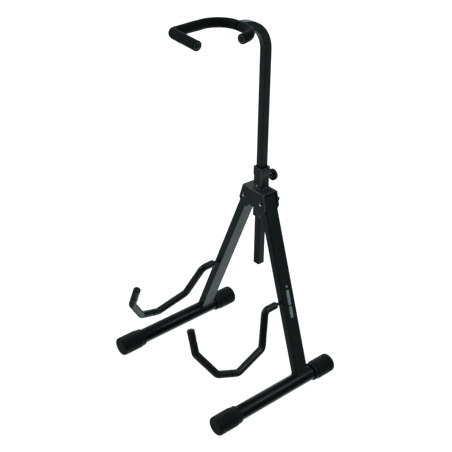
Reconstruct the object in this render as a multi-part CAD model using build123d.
from build123d import *
from math import cos, radians, sin
import os

# Folding floor stand for a guitar: two hinged legs on round feet, a folded sheet head, a sliding
# square mast with a padded neck yoke, and a padded cradle arm on each leg.
# Millimetres. +X is the stand's left-to-right, -Y is its front, +Z is up. The design is laid out
# about the mast's axis; the finished parts are moved so that the origin is on the floor, under
# the middle of the outer box.

# ---- Whole stand -------------------------------------------------------------------------------
SPLAY = 20.7                 # each leg leans outward by this angle, degrees
LEAN = 2.3                   # the legs and the head lean back by this angle, degrees
PIVOT_X = 27.5               # leg pivots, to each side of the mast
PIVOT_Y = -4.5               # the legs' plane is this far in front of the mast's axis, at the pivots
PIVOT_Z = 408.5
MAST_Y = 106.765              # the mast's axis, behind the middle of the outer box
RUNNING_GAP = 0.05           # side play of every running fit
PAST = 1.0                   # cutting shapes run this far past the faces they cut
TUBE_INNER_CORNER = 0.5      # inside corners of the square tubes

# ---- Feet --------------------------------------------------------------------------------------
FOOT_DIAMETER = 34.0
FOOT_WALL = 1.5
FOOT_FRONT = -270.8          # outer ends of the rubber caps
FOOT_REAR = 68.2
CAP_DIAMETER = 43.8
CAP_FRONT_LENGTH = 62.0
CAP_REAR_LENGTH = 59.0
CAP_END = 4.0                # thickness of a cap's closed end
CAP_LIP = 3.0                # raised lip at a cap's open end
CAP_GROOVE = 0.5             # depth of the groove behind the lip
CAP_END_ROUND = 4.0
CAP_LIP_BEVEL = 0.6

# ---- Legs --------------------------------------------------------------------------------------
LEG_WIDTH = 18.0             # seen from the front
LEG_DEPTH = 35.0
LEG_WALL = 1.5
LEG_CORNER = 2.5
LEG_TOP = 15.0               # leg above its pivot
BUSH_DIAMETER = 13.0         # crush tube round the pivot bolt

# ---- Head --------------------------------------------------------------------------------------
SHEET = 2.2
SHEET_BEND = 0.6             # inside radius of the two folds
HEAD_DEPTH = 41.4
HEAD_TOP = 25.0              # heights from the pivots
HEAD_TOP_HALF = 33.5
HEAD_SHOULDER_HALF = 34.5    # the plates' sides break outward here
HEAD_SHOULDER_Z = 19.0
HEAD_FLARE_HALF = 42.5       # widest, low on the plates
HEAD_FLARE_Z = -8.5
TAB_RADIUS = 15.2
TAB_X = 25.0
TAB_Z = -11.0
TAB_SHOULDER = 10.2          # where each tab's outer edge runs into its round bottom
ARCH_Z = -16.0
BOLT_DIAMETER = 8.0
BOLT_HEAD_DIAMETER = 13.0
BOLT_HEAD_HEIGHT = 4.2
BOLT_HEAD_RIM = 0.6          # straight edge under the domed head
BOLT_END_BEVEL = 0.8
BOLT_PAST_NUT = 3.0
NUT_ACROSS_FLATS = 13.0
NUT_HEIGHT = 6.5
WASHER_DIAMETER = 16.0
WASHER_THICKNESS = 1.6
FRICTION_DIAMETER = 20.0
STOP_THICKNESS = 1.3
STOP_HEIGHT = 14.0
STOP_DEPTH = 16.0
STOP_BELOW_PLATE = 1.0

# ---- Sleeve and clamp --------------------------------------------------------------------------
SLEEVE_WIDTH = 24.4
SLEEVE_WALL = 1.5
SLEEVE_CORNER = 2.0
SLEEVE_BOTTOM = 363.0
SLEEVE_TOP = 480.5
COLLAR_WIDTH = 27.0
COLLAR_BOTTOM = 463.5
COLLAR_TOP = 483.5
COLLAR_RECESS = 2.5          # depth of the wider mouth at the collar's top
COLLAR_MOUTH_STEP = 1.2      # the mouth is this much wider on each side
COLLAR_ROUND = 1.2
GUIDE_CORNER = 1.5           # inside corners of the two nylon guides
LOWER_BUSH_LENGTH = 15.0
LOWER_BUSH_LIP = 1.5
RIVET_Z = 438.5
RIVET_DIAMETER = 6.4
RIVET_HEIGHT = 2.4
RIVET_RIM = 0.3
KNOB_Z = 452.0
KNOB_DIAMETER = 26.6
KNOB_FRONT = 28.5            # the knob's two faces, behind the mast's axis
KNOB_REAR = 38.0
KNOB_BACK = 4.0              # solid plastic behind the insert
KNOB_REAR_ROUND = 2.5
KNOB_FRONT_ROUND = 1.0
KNOB_FLUTES = 12
KNOB_FLUTE_DIAMETER = 3.0
KNOB_FLUTE_OUT = 0.7         # flute centres, outside the knob's rim
STUD_DIAMETER = 6.0
STUD_END_GAP = 0.3
STUD_BEVEL = 0.7
STUD_HOLE = 6.6
CLAMP_NUT_FLATS = 10.0
CLAMP_NUT_HEIGHT = 6.0
INSERT_DIAMETER = 9.0
INSERT_PROUD = 1.6

# ---- Mast and yoke -----------------------------------------------------------------------------
MAST_WIDTH = 17.8
MAST_WALL = 1.5
MAST_CORNER = 2.0
MAST_BOTTOM = 237.5          # underside of the end plug
MAST_BEND = 64.0             # centre-line radius of the forward bend
PLUG_THICKNESS = 3.0
PLUG_STEM = 12.0
PLUG_ROUND = 1.0
YOKE_Z = 810.5
YOKE_Y = -70.0               # the yoke rod's straight back
YOKE_LEFT = -54.5            # centre line of the long arm
YOKE_ROD = 8.0
FOAM_DIAMETER = 21.0
FOAM_GAP_HALF = 2.2          # bare rod between the two foam sleeves
YOKE_RIGHT_CORNER_X = 45.5
YOKE_RIGHT_TIP = (54.5, -113.3)
YOKE_RIGHT_BEND = 40.0
YOKE_LEFT_BEND = 50.0
YOKE_HOOK_BEND = 11.5
HOOK_CORNER_Y = -193.5
HOOK_TIP = (31.0, -199.6)
YOKE_PLUG_HEAD = 15.0
YOKE_PLUG_DEPTH = 2.0
YOKE_PLUG_STEM = 5.0
WELD_OVERLAP = 4.0           # straight end of the mast, saddle cut on the yoke rod
NOTCH_GAP = 0.2              # between the foam sleeves and the mast's end

# ---- Cradle arms -------------------------------------------------------------------------------
# Corners of an arm's centre line: distance down the leg from its pivot, distance forward of the
# leg's middle. The arm starts on the leg's front face.
CRADLE_CORNERS = [
    (228.5, 63.0),
    (306.5, 90.5),
    (333.7, 165.0),
    (315.8, 217.6),
    (252.4, 259.6),
]
CRADLE_START = (226.0, LEG_DEPTH / 2)
CRADLE_TIP = (196.0, 259.6)
CRADLE_BEND = 15.0
CRADLE_ROD = 7.0
CRADLE_SLEEVE = 17.0
CRADLE_BARE = 12.0           # bare rod between the leg and the first sleeve
CRADLE_ROD_SHORT = 0.08      # the rod ends before the tip, by this share of the front run
CRADLE_TOE_IN = 1.1          # both arms turn slightly towards each other, degrees
SEAM_GAP = 0.6
SEAM_BOTTOM = 0.38           # where the sleeves meet, as a share of the bottom run
SEAM_FRONT = 0.5             # the same on the upright front run
SLEEVE_END_ROUND = 3.0

# ---- Worked out --------------------------------------------------------------------------------
FOOT_Z = CAP_DIAMETER / 2
HEAD = Location((0, PIVOT_Y, PIVOT_Z), (-LEAN, 0, 0))
LEG = HEAD * Location((PIVOT_X, 0, 0), (0, -SPLAY, 0))
LEG_DROP = (PIVOT_Z - FOOT_Z) / (cos(radians(SPLAY)) * cos(radians(LEAN)))
FOOT_X = PIVOT_X + LEG_DROP * sin(radians(SPLAY))
MAST_BEND_Z = YOKE_Z - MAST_BEND
PLATE_INNER = HEAD_DEPTH / 2 - SHEET


def save(name, part):
    """Write one sub-part, moved from the mast's axis to the stand's own origin."""
    export_step(Pos(0, MAST_Y, 0) * part, "parts/" + name + ".step")


def save_pair(name, part):
    """Write a right-hand sub-part and its mirror image."""
    save("right_" + name, part)
    save("left_" + name, mirror(part, about=Plane.YZ))


def square_bar(width, corner, bottom, top):
    """Upright square bar with rounded edges."""
    return Pos(0, 0, bottom) * extrude(RectangleRounded(width, width, corner), top - bottom)


def cylinder_y(diameter, start, end, x=0.0, z=0.0):
    """Round bar along Y."""
    middle = (start + end) / 2
    return Pos(x, middle, z) * Rot(90, 0, 0) * Cylinder(diameter / 2, end - start)


def hexagon_y(across_flats, start, end, x=0.0, z=0.0):
    """Hexagonal bar along Y."""
    outline = RegularPolygon(across_flats / 2, 6, major_radius=False)
    return Pos(x, end, z) * Rot(90, 0, 0) * extrude(outline, end - start)


def tube_along(path, outer, inner):
    """Round tube, or a rod when inner is 0, along a path of straight runs and arcs."""
    section = Circle(outer / 2)
    if inner:
        section -= Circle(inner / 2)
    return sweep(Plane(path @ 0, z_dir=path % 0) * section, path=path)


def rim_at(part, centre, radius):
    """The circular edge of this radius whose centre is nearest to a point."""
    rims = part.edges().filter_by(GeomType.CIRCLE)
    rims = rims.filter_by(lambda edge: abs(edge.radius - radius) < 0.01)
    return min(rims, key=lambda edge: (edge.arc_center - centre).length)


# ---- Feet --------------------------------------------------------------------------------------
def foot_tube():
    outer = cylinder_y(FOOT_DIAMETER, FOOT_FRONT + CAP_END, FOOT_REAR - CAP_END)
    bore = cylinder_y(FOOT_DIAMETER - 2 * FOOT_WALL, FOOT_FRONT, FOOT_REAR)
    return Pos(FOOT_X, 0, FOOT_Z) * (outer - bore)


def foot_cap(length):
    """Rubber cap, closed end at the origin, mouth towards +Y."""
    radius = CAP_DIAMETER / 2
    groove = radius - CAP_GROOVE
    bore = FOOT_DIAMETER / 2
    outline = Polyline(
        (0, 0),
        (radius, 0),
        (radius, length - 2 * CAP_LIP),
        (groove, length - 2 * CAP_LIP + CAP_GROOVE),
        (groove, length - CAP_LIP),
        (radius, length - CAP_LIP + CAP_GROOVE),
        (radius, length - CAP_LIP_BEVEL),
        (radius - CAP_LIP_BEVEL, length),
        (bore, length),
        (bore, CAP_END),
        (0, CAP_END),
        close=True,
    )
    cap = revolve(make_face(outline), axis=Axis.Y)
    return fillet(rim_at(cap, Vector(0, 0, 0), radius), CAP_END_ROUND)


def front_cap():
    return Pos(FOOT_X, FOOT_FRONT, FOOT_Z) * foot_cap(CAP_FRONT_LENGTH)


def rear_cap():
    return Pos(FOOT_X, FOOT_REAR, FOOT_Z) * Rot(0, 0, 180) * foot_cap(CAP_REAR_LENGTH)


# ---- Legs --------------------------------------------------------------------------------------
def leg_tube():
    """Rectangular tube from above the pivot to a saddle cut on the foot tube."""
    outer = RectangleRounded(LEG_WIDTH, LEG_DEPTH, LEG_CORNER)
    inner_corner = LEG_CORNER - LEG_WALL
    inner = RectangleRounded(LEG_WIDTH - 2 * LEG_WALL, LEG_DEPTH - 2 * LEG_WALL, inner_corner)
    tube = Pos(0, 0, -LEG_DROP) * extrude(outer - inner, LEG_DROP + LEG_TOP)
    tube -= cylinder_y(BUSH_DIAMETER, -LEG_DEPTH, LEG_DEPTH)
    foot = Pos(FOOT_X, 0, FOOT_Z) * cylinder_y(FOOT_DIAMETER, FOOT_FRONT, FOOT_REAR)
    return LEG * tube - foot


def pivot_bush():
    bush = cylinder_y(BUSH_DIAMETER, -LEG_DEPTH / 2, LEG_DEPTH / 2)
    return LEG * (bush - cylinder_y(BOLT_DIAMETER + 2 * RUNNING_GAP, -LEG_DEPTH, LEG_DEPTH))


# ---- Cradle arms -------------------------------------------------------------------------------
def cradle_point(corner):
    """A corner of the arm in the leg's frame."""
    down, forward = corner
    return Vector(0, -forward, -down)


def share(start, end, fraction):
    """A point part of the way from one corner to the next."""
    first = cradle_point(start)
    return first + (cradle_point(end) - first) * fraction


def cradle_place():
    """The leg's frame, turned about the arm's root for its toe-in."""
    root = cradle_point(CRADLE_START)
    turn = Pos(*root) * Rot(0, 0, -CRADLE_TOE_IN) * Pos(*(-root))
    return LEG * turn


def cradle_stops():
    """Where the three sleeves start and end along the arm."""
    first = CRADLE_CORNERS[0]
    run = (cradle_point(first) - cradle_point(CRADLE_START)).length
    last = CRADLE_CORNERS[4]
    return {
        "mouth": share(CRADLE_START, first, CRADLE_BARE / run),
        "bottom": share(CRADLE_CORNERS[2], CRADLE_CORNERS[3], SEAM_BOTTOM),
        "front": share(last, CRADLE_TIP, SEAM_FRONT),
        "tip": cradle_point(CRADLE_TIP),
    }


def cradle_rod_end():
    return share(CRADLE_TIP, CRADLE_CORNERS[4], CRADLE_ROD_SHORT)


def cradle_rod():
    start = cradle_point(CRADLE_START)
    corners = [cradle_point(corner) for corner in CRADLE_CORNERS]
    path = FilletPolyline(start, *corners, cradle_rod_end(), radius=CRADLE_BEND)
    return cradle_place() * tube_along(path, CRADLE_ROD, 0)


def cradle_sleeve_rear():
    """From the bare rod, down the diagonal and under the arm's lowest run."""
    stops = cradle_stops()
    corners = [cradle_point(corner) for corner in CRADLE_CORNERS[:3]]
    path = FilletPolyline(stops["mouth"], *corners, stops["bottom"], radius=CRADLE_BEND)
    sleeve = tube_along(path, CRADLE_SLEEVE, CRADLE_ROD)
    rim = rim_at(sleeve, stops["mouth"], CRADLE_SLEEVE / 2)
    return cradle_place() * chamfer(rim, SLEEVE_END_ROUND)


def cradle_sleeve_front():
    """From the bottom seam, up the front."""
    stops = cradle_stops()
    corners = [cradle_point(corner) for corner in CRADLE_CORNERS[3:]]
    toward = (corners[0] - stops["bottom"]).normalized()
    start = stops["bottom"] + toward * SEAM_GAP
    path = FilletPolyline(start, *corners, stops["front"], radius=CRADLE_BEND)
    return cradle_place() * tube_along(path, CRADLE_SLEEVE, CRADLE_ROD)


def cradle_tip():
    """Closed end sleeve on the upright front run."""
    stops = cradle_stops()
    up = (stops["tip"] - stops["front"]).normalized()
    start = stops["front"] + up * SEAM_GAP
    length = (stops["tip"] - start).length
    bore = (cradle_rod_end() - start).length
    plane = Plane(start, z_dir=up)
    sleeve = plane * extrude(Circle(CRADLE_SLEEVE / 2), length)
    sleeve = fillet(rim_at(sleeve, stops["tip"], CRADLE_SLEEVE / 2), SLEEVE_END_ROUND)
    return cradle_place() * (sleeve - plane * extrude(Circle(CRADLE_ROD / 2), bore))


# ---- Head --------------------------------------------------------------------------------------
def head_outline():
    """One side plate seen from the front: a flared plate with two round tabs and an arch."""
    flare = Polygon(
        (-HEAD_TOP_HALF, HEAD_TOP),
        (HEAD_TOP_HALF, HEAD_TOP),
        (HEAD_SHOULDER_HALF, HEAD_SHOULDER_Z),
        (HEAD_FLARE_HALF, HEAD_FLARE_Z),
        (TAB_X + TAB_SHOULDER, TAB_Z - TAB_SHOULDER),
        (TAB_X, ARCH_Z),
        (-TAB_X, ARCH_Z),
        (-TAB_X - TAB_SHOULDER, TAB_Z - TAB_SHOULDER),
        (-HEAD_FLARE_HALF, HEAD_FLARE_Z),
        (-HEAD_SHOULDER_HALF, HEAD_SHOULDER_Z),
        align=None,
    )
    tabs = Pos(TAB_X, TAB_Z) * Circle(TAB_RADIUS) + Pos(-TAB_X, TAB_Z) * Circle(TAB_RADIUS)
    return flare + tabs


def head_bracket():
    """Sheet folded into a channel, open at both sides and below."""
    height = HEAD_TOP - TAB_Z + 2 * TAB_RADIUS
    outer = Pos(0, HEAD_TOP - height / 2) * Rectangle(HEAD_DEPTH, height)
    outer = fillet(outer.vertices().group_by(Axis.Y)[-1], SHEET + SHEET_BEND)
    inner = Pos(0, HEAD_TOP - SHEET - height / 2) * Rectangle(2 * PLATE_INNER, height)
    inner = fillet(inner.vertices().group_by(Axis.Y)[-1], SHEET_BEND)
    channel = extrude(Plane.YZ * (outer - inner), HEAD_FLARE_HALF, both=True)
    plate = extrude(Plane.XZ * head_outline(), HEAD_DEPTH, both=True)
    bracket = channel & plate
    for side in (-1, 1):
        bracket -= cylinder_y(BOLT_DIAMETER, -HEAD_DEPTH, HEAD_DEPTH, side * PIVOT_X)
    sleeve = square_bar(SLEEVE_WIDTH, SLEEVE_CORNER, SLEEVE_BOTTOM, SLEEVE_TOP)
    return HEAD * bracket - sleeve


def pivot_bolts():
    front = -HEAD_DEPTH / 2
    end = HEAD_DEPTH / 2 + WASHER_THICKNESS + NUT_HEIGHT + BOLT_PAST_NUT
    bolts = []
    for side in (-1, 1):
        x = side * PIVOT_X
        head = cylinder_y(BOLT_HEAD_DIAMETER, front - BOLT_HEAD_HEIGHT, front, x)
        rim = head.edges().group_by(Axis.Y)[0]
        head = fillet(rim, BOLT_HEAD_HEIGHT - BOLT_HEAD_RIM)
        shank = cylinder_y(BOLT_DIAMETER, front, end, x)
        shank = chamfer(shank.edges().group_by(Axis.Y)[-1], BOLT_END_BEVEL)
        bolts.append(HEAD * (head + shank))
    return Compound(children=bolts)


def pivot_nuts():
    start = HEAD_DEPTH / 2 + WASHER_THICKNESS
    nuts = []
    for side in (-1, 1):
        x = side * PIVOT_X
        nut = hexagon_y(NUT_ACROSS_FLATS, start, start + NUT_HEIGHT, x)
        nut -= cylinder_y(BOLT_DIAMETER, 0, HEAD_DEPTH, x)
        nuts.append(HEAD * nut)
    return Compound(children=nuts)


def pivot_washers():
    start = HEAD_DEPTH / 2
    washers = []
    for side in (-1, 1):
        x = side * PIVOT_X
        washer = cylinder_y(WASHER_DIAMETER, start, start + WASHER_THICKNESS, x)
        washers.append(HEAD * (washer - cylinder_y(BOLT_DIAMETER, 0, HEAD_DEPTH, x)))
    return Compound(children=washers)


def friction_washers():
    """Nylon rings between each leg and the head's two plates."""
    inner = LEG_DEPTH / 2 + RUNNING_GAP
    rings = []
    for side in (-1, 1):
        x = side * PIVOT_X
        for start, end in ((-PLATE_INNER, -inner), (inner, PLATE_INNER)):
            ring = cylinder_y(FRICTION_DIAMETER, start, end, x)
            rings.append(HEAD * (ring - cylinder_y(BOLT_DIAMETER, start - PAST, end + PAST, x)))
    return Compound(children=rings)


def leg_stops():
    """Blocks welded to the sleeve: the legs' top ends rest on them when the stand is open."""
    top = PIVOT_Z + HEAD_TOP - SHEET - STOP_BELOW_PLATE
    blocks = []
    for side in (-1, 1):
        x = side * (SLEEVE_WIDTH + STOP_THICKNESS) / 2
        block = Box(STOP_THICKNESS, STOP_DEPTH, STOP_HEIGHT)
        blocks.append(Pos(x, 0, top - STOP_HEIGHT / 2) * block)
    return Compound(children=blocks)


# ---- Sleeve and clamp --------------------------------------------------------------------------
def mast_sleeve():
    inner = SLEEVE_WIDTH - 2 * SLEEVE_WALL
    sleeve = square_bar(SLEEVE_WIDTH, SLEEVE_CORNER, SLEEVE_BOTTOM, SLEEVE_TOP)
    sleeve -= square_bar(inner, TUBE_INNER_CORNER, SLEEVE_BOTTOM - PAST, SLEEVE_TOP + PAST)
    sleeve -= cylinder_y(STUD_HOLE, 0, SLEEVE_WIDTH, z=KNOB_Z)
    return sleeve - cylinder_y(RIVET_DIAMETER / 2, -SLEEVE_WIDTH, 0, z=RIVET_Z)


def sleeve_collar():
    """Nylon guide over and inside the sleeve's top end, with a wider mouth round the mast."""
    below = COLLAR_BOTTOM - PAST
    collar = square_bar(COLLAR_WIDTH, SLEEVE_CORNER + COLLAR_ROUND, COLLAR_BOTTOM, COLLAR_TOP)
    collar = fillet(collar.edges().group_by(Axis.Z)[-1], COLLAR_ROUND)
    wall = square_bar(SLEEVE_WIDTH, SLEEVE_CORNER, below, SLEEVE_TOP)
    wall -= square_bar(SLEEVE_WIDTH - 2 * SLEEVE_WALL, TUBE_INNER_CORNER, below, SLEEVE_TOP)
    bore = MAST_WIDTH + 2 * RUNNING_GAP
    mouth_width = bore + 2 * COLLAR_MOUTH_STEP
    mouth = square_bar(mouth_width, MAST_CORNER, COLLAR_TOP - COLLAR_RECESS, COLLAR_TOP + PAST)
    return collar - wall - mouth - square_bar(bore, GUIDE_CORNER, below, COLLAR_TOP + PAST)


def sleeve_bush():
    """Nylon guide in the sleeve's lower end, with a lip below it."""
    bore = MAST_WIDTH + 2 * RUNNING_GAP
    bottom = SLEEVE_BOTTOM - LOWER_BUSH_LIP
    top = SLEEVE_BOTTOM + LOWER_BUSH_LENGTH
    bush = square_bar(SLEEVE_WIDTH, SLEEVE_CORNER, bottom, SLEEVE_BOTTOM)
    inner = SLEEVE_WIDTH - 2 * SLEEVE_WALL
    bush += square_bar(inner, TUBE_INNER_CORNER, SLEEVE_BOTTOM, top)
    return bush - square_bar(bore, GUIDE_CORNER, bottom - PAST, top + PAST)


def sleeve_rivet():
    front = -SLEEVE_WIDTH / 2
    dome = cylinder_y(RIVET_DIAMETER, front - RIVET_HEIGHT, front, z=RIVET_Z)
    dome = fillet(dome.edges().group_by(Axis.Y)[0], RIVET_HEIGHT - RIVET_RIM)
    return dome + cylinder_y(RIVET_DIAMETER / 2, front, front + SLEEVE_WALL, z=RIVET_Z)


def clamp_nut():
    start = SLEEVE_WIDTH / 2
    nut = hexagon_y(CLAMP_NUT_FLATS, start, start + CLAMP_NUT_HEIGHT, z=KNOB_Z)
    bore = STUD_DIAMETER + 2 * RUNNING_GAP
    return nut - cylinder_y(bore, 0, start + CLAMP_NUT_HEIGHT + PAST, z=KNOB_Z)


def knob_stud():
    start = MAST_WIDTH / 2 + STUD_END_GAP
    stud = cylinder_y(STUD_DIAMETER, start, KNOB_REAR - KNOB_BACK, z=KNOB_Z)
    return chamfer(stud.edges().group_by(Axis.Y)[0], STUD_BEVEL)


def knob_insert():
    """Brass sleeve moulded into the knob, standing a little proud of its inner face."""
    start = KNOB_FRONT - INSERT_PROUD
    end = KNOB_REAR - KNOB_BACK
    insert = cylinder_y(INSERT_DIAMETER, start, end, z=KNOB_Z)
    return insert - cylinder_y(STUD_DIAMETER, start - PAST, end + PAST, z=KNOB_Z)


def knob_grip():
    """Round knob with a fluted rim and a rounded back face."""
    flute_x = KNOB_DIAMETER / 2 + KNOB_FLUTE_OUT
    flute = cylinder_y(KNOB_FLUTE_DIAMETER, KNOB_FRONT - PAST, KNOB_REAR + PAST, x=flute_x)
    grip = cylinder_y(KNOB_DIAMETER, KNOB_FRONT, KNOB_REAR)
    grip = fillet(grip.edges().group_by(Axis.Y)[-1], KNOB_REAR_ROUND)
    grip = fillet(grip.edges().group_by(Axis.Y)[0], KNOB_FRONT_ROUND)
    for index in range(KNOB_FLUTES):
        grip -= Rot(0, index * 360 / KNOB_FLUTES, 0) * flute
    grip -= cylinder_y(INSERT_DIAMETER, KNOB_FRONT - PAST, KNOB_REAR - KNOB_BACK)
    return Pos(0, 0, KNOB_Z) * grip


# ---- Mast and yoke -----------------------------------------------------------------------------
def mast_tube():
    """Square tube, upright, bent forward through a right angle and saddle cut on the yoke rod."""
    inner = MAST_WIDTH - 2 * MAST_WALL
    section = RectangleRounded(MAST_WIDTH, MAST_WIDTH, MAST_CORNER)
    section -= RectangleRounded(inner, inner, TUBE_INNER_CORNER)
    foot = MAST_BOTTOM + PLUG_THICKNESS
    upright = Pos(0, 0, foot) * extrude(section, MAST_BEND_Z - foot)
    bend_axis = Axis((0, -MAST_BEND, MAST_BEND_Z), (1, 0, 0))
    bend = revolve(Pos(0, 0, MAST_BEND_Z) * section, axis=bend_axis, revolution_arc=90)
    end_plane = Plane((0, -MAST_BEND, YOKE_Z), x_dir=(1, 0, 0), z_dir=(0, -1, 0))
    end = extrude(end_plane * section, WELD_OVERLAP)
    rod = Pos(0, YOKE_Y, YOKE_Z) * Rot(0, 90, 0) * Cylinder(YOKE_ROD / 2, 2 * MAST_WIDTH)
    return upright + bend + end - rod


def mast_end_plug():
    """Plastic plug in the mast's lower end."""
    inner = MAST_WIDTH - 2 * MAST_WALL
    top = MAST_BOTTOM + PLUG_THICKNESS
    plug = square_bar(MAST_WIDTH, MAST_CORNER, MAST_BOTTOM, top)
    plug = fillet(plug.edges().group_by(Axis.Z)[0], PLUG_ROUND)
    return plug + square_bar(inner, TUBE_INNER_CORNER, top, top + PLUG_STEM)


def yoke_right_path(start_x, trim):
    """Rod centre line to the short right arm, from start_x, its end cut back by trim."""
    corner = Vector(YOKE_RIGHT_CORNER_X, YOKE_Y, YOKE_Z)
    tip = Vector(*YOKE_RIGHT_TIP, YOKE_Z)
    tip -= (tip - corner).normalized() * trim
    return FilletPolyline((start_x, YOKE_Y, YOKE_Z), corner, tip, radius=YOKE_RIGHT_BEND)


def yoke_left_path(start_x, trim):
    """Rod centre line to the long left arm and its hook, the hook's end cut back by trim."""
    corner = Vector(YOKE_LEFT, HOOK_CORNER_Y, YOKE_Z)
    tip = Vector(*HOOK_TIP, YOKE_Z)
    tip -= (tip - corner).normalized() * trim
    return FilletPolyline(
        (start_x, YOKE_Y, YOKE_Z),
        (YOKE_LEFT, YOKE_Y, YOKE_Z),
        corner,
        tip,
        radius=[YOKE_LEFT_BEND, YOKE_HOOK_BEND],
    )


def yoke_rod():
    trim = YOKE_PLUG_DEPTH + YOKE_PLUG_STEM
    right = tube_along(yoke_right_path(0.0, trim), YOKE_ROD, 0)
    left = tube_along(yoke_left_path(0.0, trim), YOKE_ROD, 0)
    return right + left


def end_plane(path):
    """Plane on a path's far end, facing outward."""
    return Plane(path @ 1, z_dir=path % 1)


def yoke_foam(path):
    """Foam sleeve with a recess for its end plug, cut away behind for the mast's end."""
    foam = tube_along(path, FOAM_DIAMETER, YOKE_ROD)
    recess = extrude(end_plane(path) * Circle(YOKE_PLUG_HEAD / 2), -YOKE_PLUG_DEPTH)
    depth = FOAM_DIAMETER / 2
    width = MAST_WIDTH + 2 * NOTCH_GAP
    notch = Pos(0, YOKE_Y + depth / 2, YOKE_Z) * Box(width, depth, width)
    return foam - recess - notch


def yoke_plug(path):
    """Round plug: a flat head in the foam's recess and a stem up to the rod's end."""
    plane = end_plane(path)
    head = extrude(plane * Circle(YOKE_PLUG_HEAD / 2), -YOKE_PLUG_DEPTH)
    stem = extrude(plane * Circle(YOKE_ROD / 2), -YOKE_PLUG_DEPTH - YOKE_PLUG_STEM)
    return head + stem


def build():
    os.makedirs("parts", exist_ok=True)
    pairs = {
        "foot_tube": foot_tube(),
        "front_cap": front_cap(),
        "rear_cap": rear_cap(),
        "leg_tube": leg_tube(),
        "pivot_bush": pivot_bush(),
        "cradle_rod": cradle_rod(),
        "cradle_sleeve_rear": cradle_sleeve_rear(),
        "cradle_sleeve_front": cradle_sleeve_front(),
        "cradle_tip": cradle_tip(),
    }
    right_foam = yoke_right_path(FOAM_GAP_HALF, 0)
    left_foam = yoke_left_path(-FOAM_GAP_HALF, 0)
    singles = {
        "head_bracket": head_bracket(),
        "pivot_bolts": pivot_bolts(),
        "pivot_nuts": pivot_nuts(),
        "pivot_washers": pivot_washers(),
        "friction_washers": friction_washers(),
        "leg_stops": leg_stops(),
        "mast_sleeve": mast_sleeve(),
        "sleeve_collar": sleeve_collar(),
        "sleeve_bush": sleeve_bush(),
        "sleeve_rivet": sleeve_rivet(),
        "clamp_nut": clamp_nut(),
        "knob_stud": knob_stud(),
        "knob_insert": knob_insert(),
        "knob_grip": knob_grip(),
        "mast_tube": mast_tube(),
        "mast_end_plug": mast_end_plug(),
        "yoke_rod": yoke_rod(),
        "yoke_foam_right": yoke_foam(right_foam),
        "yoke_foam_left": yoke_foam(left_foam),
        "yoke_plug_right": yoke_plug(right_foam),
        "yoke_plug_left": yoke_plug(left_foam),
    }
    for name, part in pairs.items():
        save_pair(name, part)
    for name, part in singles.items():
        save(name, part)


build()
